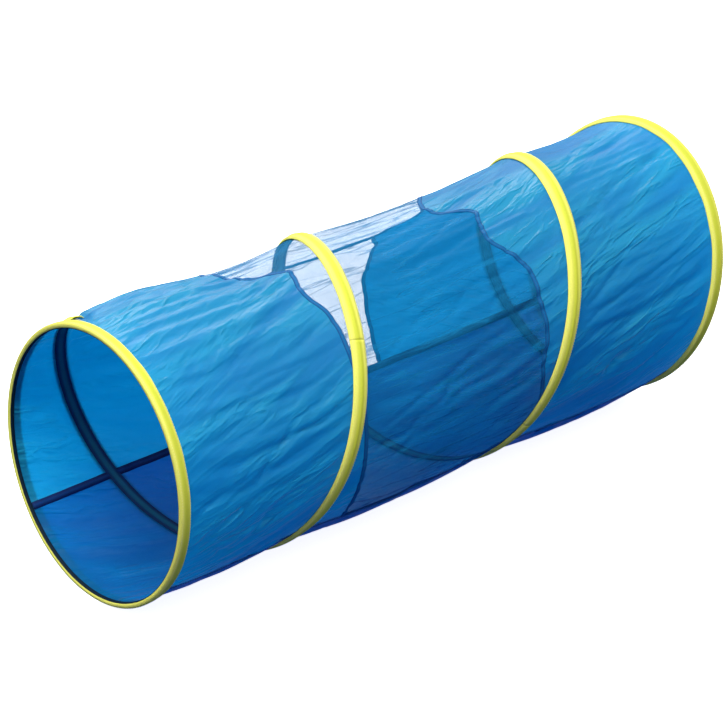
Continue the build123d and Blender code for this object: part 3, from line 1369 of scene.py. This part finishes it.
def grown(
    name: str,
    tree: bpy.types.NodeTree,
    values: dict[str, object],
    mesh: bpy.types.Mesh | None = None,
    wall: float = 0.0,
) -> bpy.types.Object:
    """Grow a piece from a node tree and turn it into plain mesh.

    Args:
        name: The piece's name.
        tree: The tree.
        values: Its inputs, by name.
        mesh: The mesh that it starts from.
        wall: Thickness to give it behind its surface.

    Returns:
        The piece.
    """
    piece = link(name, mesh or bpy.data.meshes.new(name))
    modifier = piece.modifiers.new("grow", "NODES")
    modifier.node_group = tree
    sockets = {
        item.name: item.identifier
        for item in tree.interface.items_tree
        if item.item_type == "SOCKET" and item.in_out == "INPUT"
    }
    for label, value in values.items():
        modifier[sockets[label]] = value
    if wall:
        thicken(piece, wall, -1.0)
    return settle(piece)


def band_tree() -> bpy.types.NodeTree:
    """A tree that winds a band round the leaning tube, level or as a spiral.

    Returns:
        The tree.
    """
    tree, g, source, sink = group_tree(
        "wound_band",
        "GeometryNodeTree",
        {
            "Steps Along": 400,
            "Steps Across": 17,
            "First Turn": 0.0,
            "Last Turn": 360.0,
            "Width": TAPE_WIDTH,
            "Edge Radius": 0.1948,
            "Crown Radius": 0.2,
            "Crown Width": 10.6 * MM,
            "Ridge": 0.2,
            "Edge Waver": 0.5 * MM,
            "Turn Station": SPIRAL_START,
            "Pitch": SPIRAL_PITCH,
            "Tube Radius": 0.2,
            "Axis Height": 0.2,
            "Front X": 0.0,
            "Length": 1.0,
            "Lean Constant": 0.0,
            "Lean Linear": 0.0,
            "Lean Square": 0.0,
            "Finish": "NodeSocketMaterial",
        },
        {"Band": "NodeSocketGeometry"},
    )
    value = source.outputs
    steps = {"Vertices X": value["Steps Along"], "Vertices Y": value["Steps Across"]}
    grid = g.add("GeometryNodeMeshGrid", {"Size X": 1.0, "Size Y": 1.0, **steps})
    place = g.add("ShaderNodeSeparateXYZ", {0: g.add("GeometryNodeInputPosition").outputs[0]})
    along = g.math("ADD", place.outputs["X"], 0.5)
    swing = g.math("SUBTRACT", value["Last Turn"], value["First Turn"])
    turn = g.total(value["First Turn"], g.times(swing, along))
    along_waver = g.add("ShaderNodeCombineXYZ", {"X": g.times(turn, 0.045)})
    waver = g.add(
        "ShaderNodeTexNoise", {"Vector": along_waver.outputs[0], "Scale": 1.0, "Detail": 3.0}
    )
    drift = g.times(g.math("SUBTRACT", waver.outputs[0], 0.5), value["Edge Waver"], 4.0)
    across = g.times(place.outputs["Y"], value["Width"], -1.0)
    turn_length = g.times(value["Tube Radius"], 2 * math.pi)
    tilt = g.math("ARCTAN2", value["Pitch"], turn_length)
    moved = g.total(across, drift)
    station = g.total(
        value["Turn Station"],
        g.times(value["Pitch"], g.math("DIVIDE", turn, FULL_TURN)),
        g.times(moved, g.math("COSINE", tilt)),
    )
    back = g.math("DIVIDE", g.times(moved, g.math("SINE", tilt)), value["Tube Radius"])
    angle = g.math("SUBTRACT", g.math("RADIANS", turn), back)
    share_across = g.math("DIVIDE", g.math("ABSOLUTE", across), value["Crown Width"])
    shoulder = g.math("EXPONENT", g.times(g.math("POWER", share_across, 7.0), -1.0))
    ridge = g.math("EXPONENT", g.times(g.math("POWER", g.times(share_across, 4.0), 2.0), -1.0))
    flat_share = g.math("SUBTRACT", 1.0, value["Ridge"])
    crown = g.total(g.times(shoulder, flat_share), g.times(ridge, value["Ridge"]))
    rise = g.math("SUBTRACT", value["Crown Radius"], value["Edge Radius"])
    radius = g.total(value["Edge Radius"], g.times(rise, crown))
    share = g.math("DIVIDE", station, value["Length"], clamp=True)
    lean = g.total(
        value["Lean Constant"],
        g.times(value["Lean Linear"], share),
        g.times(value["Lean Square"], share, share),
    )
    sine, cosine = g.math("SINE", angle), g.math("COSINE", angle)
    wound = g.add(
        "ShaderNodeCombineXYZ",
        {
            "X": g.total(value["Front X"], station, g.times(lean, sine)),
            "Y": g.times(radius, cosine, -1.0),
            "Z": g.total(value["Axis Height"], g.times(radius, sine)),
        },
    )
    along_tape = g.times(g.math("DIVIDE", turn, FULL_TURN), turn_length)
    uv = g.add("ShaderNodeCombineXYZ", {"X": across, "Y": along_tape})
    mapped = g.add(
        "GeometryNodeStoreNamedAttribute",
        {"Geometry": grid.outputs["Mesh"], "Name": "UVMap", "Value": uv.outputs[0]},
        data_type="FLOAT2",
        domain="CORNER",
    )
    bent = g.add(
        "GeometryNodeSetPosition", {"Geometry": mapped.outputs[0], "Position": wound.outputs[0]}
    )
    smooth = g.add("GeometryNodeSetShadeSmooth", {0: bent.outputs[0]})
    real = g.add("GeometryNodeRealizeInstances", {0: smooth.outputs[0]})
    finished = g.add(
        "GeometryNodeSetMaterial", {"Geometry": real.outputs[0], "Material": value["Finish"]}
    )
    g.feed(sink.inputs["Band"], finished.outputs[0])
    return tree


@dataclass
class Spiral:
    """The spiral's wire, tape and lining, each in three lengths."""

    form: TubeForm
    dresser: Dresser
    stitches: StitchRows
    tuck: float = 8 * MM             # how near the tape's middle comes to a rim tape
    lining_width: float = 17 * MM
    stitch_inset: float = 2.6 * MM

    def turns(self, margin: float) -> tuple[float, float]:
        """First and last turn of a spiral piece that stops short of both mouths."""
        return self.form.spiral_angle(margin), self.form.spiral_angle(self.form.length - margin)

    def settings(self) -> dict[str, float]:
        """The form's sizes, as inputs of the band tree."""
        constant, linear, square = self.form.lean_terms
        return {
            "Tube Radius": self.form.radius,
            "Axis Height": self.form.axis_height,
            "Front X": self.form.front_x,
            "Length": self.form.length,
            "Lean Constant": constant,
            "Lean Linear": linear,
            "Lean Square": square,
        }

    def line(self, first: float, last: float, across: float, radius: float) -> np.ndarray:
        """Points along the spiral, beside its middle.

        Args:
            first: First turn, in degrees.
            last: Last turn.
            across: Distance from the middle, towards the back mouth.
            radius: Distance from the tube's axis.

        Returns:
            The points.
        """
        turn = np.linspace(first, last, int((last - first) / 1.2) + 2)
        tilt = math.atan(SPIRAL_PITCH / (2 * math.pi * self.form.radius))
        station = self.form.spiral_station(turn) + across * math.cos(tilt)
        angle = turn - math.degrees(across * math.sin(tilt) / self.form.radius)
        return self.form.point(station, angle, np.full_like(turn, radius))

    def build(self) -> None:
        """Wind every length and dress it."""
        tree = band_tree()
        bodies = (Body.FRONT, Body.MIDDLE, Body.REAR)
        first, last = self.turns(TAPE_WIDTH + self.tuck)
        wire_first, wire_last = self.turns(TAPE_WIDTH / 2 + WIRE_DIAMETER)
        third = (last - first) / 3
        crown, edge = self.form.radius, self.form.radius - 5.2 * MM
        for index, (body, label) in enumerate(zip(bodies, ("front", "middle", "rear"))):
            low, high = first + third * index, first + third * (index + 1)
            steps = int((high - low) / 1.0)
            common = {"First Turn": low, "Last Turn": high, "Steps Along": steps, **self.settings()}
            tape = grown(
                f"tape_{label}",
                tree,
                {
                    **common,
                    "Edge Radius": edge,
                    "Crown Radius": crown,
                    "Finish": self.dresser.wardrobe.get("yellow"),
                },
                wall=0.8 * MM,
            )
            self.dresser.dress(tape, "yellow", Slot.TAPE, body, (f"spiral_tape_{label}",))
            lining = grown(
                f"lining_{label}",
                tree,
                {
                    **common,
                    "Width": self.lining_width,
                    "Steps Across": 9,
                    "Edge Radius": self.form.cloth_radius - 0.5 * MM,
                    "Crown Radius": self.form.cloth_radius - 1.3 * MM,
                    "Crown Width": 8.5 * MM,
                    "Ridge": 0.5,
                    "Edge Waver": 0.3 * MM,
                    "Finish": self.dresser.wardrobe.get("lining"),
                },
                wall=0.9 * MM,
            )
            self.dresser.dress(lining, "lining", Slot.LINING, body, (f"spiral_lining_{label}",))
            ends = (wire_first if index == 0 else low, wire_last if index == 2 else high)
            wire = self.wire(f"wire_{label}", *ends)
            self.dresser.dress(wire, "wire", Slot.WIRE, body, (f"spiral_wire_{label}",))
            for side in (-1.0, 1.0):
                place = side * (TAPE_WIDTH / 2 - self.stitch_inset)
                row = self.line(low + 0.4, high - 0.4, place, self.form.radius - 2.0 * MM)
                self.stitches.add(body, "yellow_thread", row, self.form.outwards(row))

    def wire(self, name: str, first: float, last: float) -> bpy.types.Object:
        """A length of the spring wire."""
        points = self.line(first, last, 0.0, self.form.radius - WIRE_DEPTH)
        outward = self.form.outwards(points)
        along = np.gradient(points, axis=0)
        along /= np.linalg.norm(along, axis=-1, keepdims=True)
        sideways = np.cross(along, outward)
        around = np.linspace(0, 2 * math.pi, 9)[:-1]
        half = WIRE_DIAMETER / 2
        shell = (
            points[:, None, :]
            + outward[:, None, :] * (np.cos(around)[None, :, None] * half)
            + sideways[:, None, :] * (np.sin(around)[None, :, None] * half)
        )
        mesh = mesh_from_grid(name, shell, np.zeros(shell.shape[:2] + (2,)), closed=True)
        face_outwards(mesh)
        return link(name, mesh)


@dataclass
class Mouth:
    """One mouth: tape wrapped over the hoop, and the lining inside it."""

    form: TubeForm
    dresser: Dresser
    stitches: StitchRows
    label: str
    body: Body
    at_back: bool
    inset: float = 4.0              # how far, in mm, the tape's fold lies inside the mouth's edge
    narrowing: float = 0.8          # share of the sewn width that shows
    steps: int = 240

    def ring(
        self, name: str, section: Sequence[tuple[float, float]], middle: float, waver: float, seed: int
    ) -> bpy.types.Object:
        """Turn a closed section round the mouth.

        Args:
            name: The piece's name.
            section: Corners as depth from the mouth and radius below the tape's outside, in mm.
            middle: Depth of the middle of the tape's width, in mm.
            waver: How far its inner edge strays, in mm.
            seed: Fixes the waver.

        Returns:
            The piece.
        """
        angle = np.linspace(-180.0, 180.0, self.steps + 1)[:-1]
        arc = np.radians(angle)
        rng = np.random.default_rng(seed)
        stray = sum(
            rng.uniform(0.2, 0.5) * np.sin(k * arc + rng.uniform(0, 6.28)) for k in (3, 5, 8, 13, 21)
        )
        corners = np.array(section)
        inner = np.clip((corners[:, 0] - middle) / 10.0, 0.0, 1.0)
        corners[:, 0] = self.inset + self.narrowing * corners[:, 0]
        middle = self.inset + self.narrowing * middle
        depth = (corners[None, :, 0] + stray[:, None] * inner[None, :] * waver) * MM
        station = self.form.length - depth if self.at_back else depth
        radius = self.form.radius - corners[None, :, 1] * MM
        points = self.form.point(station, angle[:, None], radius)
        uv = np.stack(
            np.broadcast_arrays((corners[None, :, 0] - middle) * MM, arc[:, None] * self.form.radius), -1
        )
        points = np.concatenate([points, points[:1]])
        uv = np.concatenate([uv, uv[:1]])
        uv[-1, :, 1] += 2 * math.pi * self.form.radius
        mesh = mesh_from_grid(name, points, uv, closed=True, capped=False)
        face_outwards(mesh, merge=0.001 * MM)
        return link(name, mesh)

    def build(self) -> None:
        """Make the tape and the lining, and finish the hoop inside them."""
        tape_section = (
            (24.0, 5.4), (23.2, 4.2), (21.5, 2.2), (19.0, 1.0), (15.0, 0.6), (12.0, 0.1), (9.0, 0.0),
            (5.0, 0.1), (2.2, 0.5), (0.7, 1.5), (0.0, 3.4), (0.0, 5.2), (0.6, 6.8), (1.6, 7.5),
            (2.4, 7.4), (1.5, 6.0), (1.2, 3.4), (2.6, 1.8), (9.0, 1.2), (17.0, 1.9), (21.5, 4.0),
            (23.0, 6.0),
        )
        lining_section = (
            (1.4, 7.6), (3.0, 7.3), (8.0, 7.4), (9.0, 7.8), (8.6, 8.5), (6.0, 8.9), (3.0, 8.7),
            (1.6, 8.3),
        )
        seed = 31 if self.at_back else 30
        tape = self.ring(f"{self.label}_rim", tape_section, 12.0, 0.8, seed)
        self.dresser.dress(tape, "yellow", Slot.TAPE, self.body, (f"{self.label}_rim_tape",))
        lining = self.ring(f"{self.label}_rim_inside", lining_section, 13.0, 0.6, seed + 5)
        self.dresser.dress(lining, "rim_lining", Slot.LINING, self.body, (f"{self.label}_rim_lining",))
        angle = np.linspace(-180.0, 180.0, 361)
        for sewn, drop in ((20.2, 1.5), (3.4, 0.25)):
            depth = self.inset + self.narrowing * sewn
            station = self.form.length - depth * MM if self.at_back else depth * MM
            radius = self.form.radius - drop * MM + 0.2 * MM
            row = self.form.point(station, angle, np.full_like(angle, radius))
            self.stitches.add(self.body, "yellow_thread", row, self.form.outwards(row))
        for node, finish in ((f"{self.label}_hoop_wire", "wire"), (f"{self.label}_ferrule", "crimp")):
            carried = frame["nodes"][node]
            for place in carried.material_slots:
                place.material = self.dresser.wardrobe.get(finish)


@dataclass
class Trim:
    """Seam tapes along the tunnel and the bound hems of the mesh band."""

    cloth: TubeCloth
    dresser: Dresser
    stitches: StitchRows
    seam_width: float = 11 * MM
    hem_width: float = 7 * MM
    mesh_seam_width: float = 6 * MM
    thickness: float = 1.5 * MM

    def strip(
        self,
        name: str,
        station: np.ndarray,
        angle: np.ndarray,
        width: float,
        body: Body,
        node: str,
        finish: str = "hem",
        depth: float = 0.0,
    ) -> None:
        """Lay a strip on the cloth along a line of stations and angles, and stitch it.

        Args:
            name: The piece's name.
            station: Stations along the line.
            angle: Angles along it.
            width: The strip's width.
            body: The body that it rides on.
            node: The CAD node that it stands for.
            finish: Its finish.
            depth: How far inside the cloth its middle lies.
        """
        middle = self.cloth.at(station, angle)
        along = np.gradient(middle, axis=0)
        along /= np.linalg.norm(along, axis=-1, keepdims=True)
        lifted = self.cloth.at(station, angle, 1 * MM)
        normal = (lifted - middle) / MM
        across = np.cross(along, normal)
        across /= np.linalg.norm(across, axis=-1, keepdims=True)
        normal = np.cross(across, along)
        mesh = slab(name, middle - normal * depth, across, normal, width, self.thickness)
        piece = link(name, mesh)
        self.dresser.dress(piece, finish, Slot.BINDING, body, (node,))
        for side in (-1.0, 1.0):
            lift = CLOTH_THICKNESS / 2 if depth else self.thickness / 2
            row = middle + across * side * (width / 2 - 1.8 * MM) + normal * (lift + 0.1 * MM)
            self.stitches.add(body, "navy_thread", row, normal)

    def build(self) -> None:
        """Lay the hems, the two long seams and the mesh band's own seam."""
        round_about = np.linspace(NEAR_SEAM + 0.5, FAR_SEAM - 0.5, 460)
        for name, hem, body, node in (
            ("mesh_front_hem", FRONT_HEM, Body.FRONT, "window_front_hem"),
            ("mesh_back_hem", BACK_HEM, Body.MIDDLE, "window_back_hem"),
        ):
            self.strip(name, hem.station(round_about), round_about, self.hem_width, body, node)
        inset = self.cloth.end_inset + 4 * MM
        stations = np.linspace(inset, self.cloth.form.length - inset, 320)
        for name, angle, node in (
            ("near_seam", NEAR_SEAM, "near_seam_tape"),
            ("far_seam", FAR_SEAM, "far_seam_tape"),
        ):
            line = np.full_like(stations, angle)
            self.strip(name, stations, line, self.seam_width, Body.MIDDLE, node, "binding", 0.9 * MM)
        low, high = float(FRONT_HEM.station(TOP_SEAM)), float(BACK_HEM.station(TOP_SEAM))
        stations = np.linspace(low + 4 * MM, high - 4 * MM, 140)
        self.strip(
            "mesh_seam",
            stations,
            np.full_like(stations, TOP_SEAM),
            self.mesh_seam_width,
            Body.MIDDLE,
            "window_seam_tape",
        )


# --------------------------------------------------------------------------- studio


@dataclass(frozen=True)
class Studio:
    """Pale floor, soft light and the camera."""

    azimuth: float = -39.91
    elevation: float = 29.03
    distance: float = 4.986
    lens: float = 173.5
    aim: tuple[float, float, float] = (-0.0359, 0.0021, 0.1896)

    def back(self) -> Vector:
        """Unit vector from what the camera aims at to the camera."""
        a, e = math.radians(self.azimuth), math.radians(self.elevation)
        return Vector((math.sin(a) * math.cos(e), -math.cos(a) * math.cos(e), math.sin(e)))

    def camera(self) -> None:
        """Place the camera."""
        data = bpy.data.cameras.new("camera")
        data.lens = self.lens
        data.sensor_width = 36.0
        data.clip_start, data.clip_end = 0.1, 60.0
        made = bpy.data.objects.new("camera", data)
        bpy.context.scene.collection.objects.link(made)
        back = self.back()
        made.location = Vector(self.aim) + back * self.distance
        made.rotation_mode = "QUATERNION"
        made.rotation_quaternion = (-back).to_track_quat("-Z", "Y")
        bpy.context.scene.camera = made

    def lamp(self, name: str, place: Sequence[float], size: float, power: float) -> None:
        """Hang a soft square lamp that faces the tunnel."""
        data = bpy.data.lights.new(name, "AREA")
        data.shape = "SQUARE"
        data.size = size
        data.energy = power
        made = bpy.data.objects.new(name, data)
        bpy.context.scene.collection.objects.link(made)
        made.location = place
        toward = Vector((0.0, 0.0, 0.2)) - Vector(place)
        made.rotation_mode = "QUATERNION"
        made.rotation_quaternion = toward.to_track_quat("-Z", "Y")

    def build(self) -> None:
        """Lay the floor and light it."""
        scene = bpy.context.scene
        scene.view_settings.view_transform = "Standard"
        scene.view_settings.look = "None"
        side = 30.0
        mesh = bpy.data.meshes.new("floor")
        corners = [(-side, -side, 0.0), (side, -side, 0.0), (side, side, 0.0), (-side, side, 0.0)]
        mesh.from_pydata(corners, [], [(0, 1, 2, 3)])
        floor = link("floor", mesh)
        material = bpy.data.materials.new("pale floor")
        material.use_nodes = True
        surface = material.node_tree.nodes["Principled BSDF"]
        surface.inputs["Base Color"].default_value = (0.95, 0.95, 0.95, 1.0)
        surface.inputs["Roughness"].default_value = 0.9
        surface.inputs["Specular IOR Level"].default_value = 0.0
        surface.inputs["Emission Color"].default_value = (1.0, 1.0, 1.0, 1.0)
        surface.inputs["Emission Strength"].default_value = 0.85
        mesh.materials.append(material)
        floor.visible_diffuse = False
        floor.visible_glossy = False
        self.lamp("key", (-1.2, -0.6, 3.6), 1.5, 130.0)
        self.lamp("far", (1.7, 3.2, 2.3), 2.2, 105.0)
        world = bpy.data.worlds.new("soft room")
        scene.world = world
        world.use_nodes = True
        g = Graph(world.node_tree)
        sky = world.node_tree.nodes["Background"]
        direction = g.add("ShaderNodeTexCoord").outputs["Generated"]
        height = g.add("ShaderNodeSeparateXYZ", {0: direction})
        level = g.ramp(height.outputs["Z"], -0.25, 0.75)
        g.feed(sky.inputs["Color"], g.mix(level, (0.0, 0.05, 0.32, 1.0), (1.0, 1.0, 0.98, 1.0)))
        sky.inputs["Strength"].default_value = 0.9


def main() -> None:
    """Build the tunnel from its cloth outwards."""
    logging.basicConfig(level=logging.INFO, format="%(name)s: %(message)s")
    studio = Studio()
    studio.camera()
    studio.build()
    form = TubeForm.from_frame()
    LOG.info("form %s", form)
    dresser = Dresser.from_frame(Wardrobe())
    stitches = StitchRows(dresser)
    cloth = TubeCloth(form)
    Panels(cloth, dresser).build()
    Spiral(form, dresser, stitches).build()
    Mouth(form, dresser, stitches, "front", Body.FRONT_MOUTH, False).build()
    Mouth(form, dresser, stitches, "back", Body.BACK_MOUTH, True, inset=2.0).build()
    Trim(cloth, dresser, stitches).build()
    stitches.build()


if __name__ == "__main__":
    main()
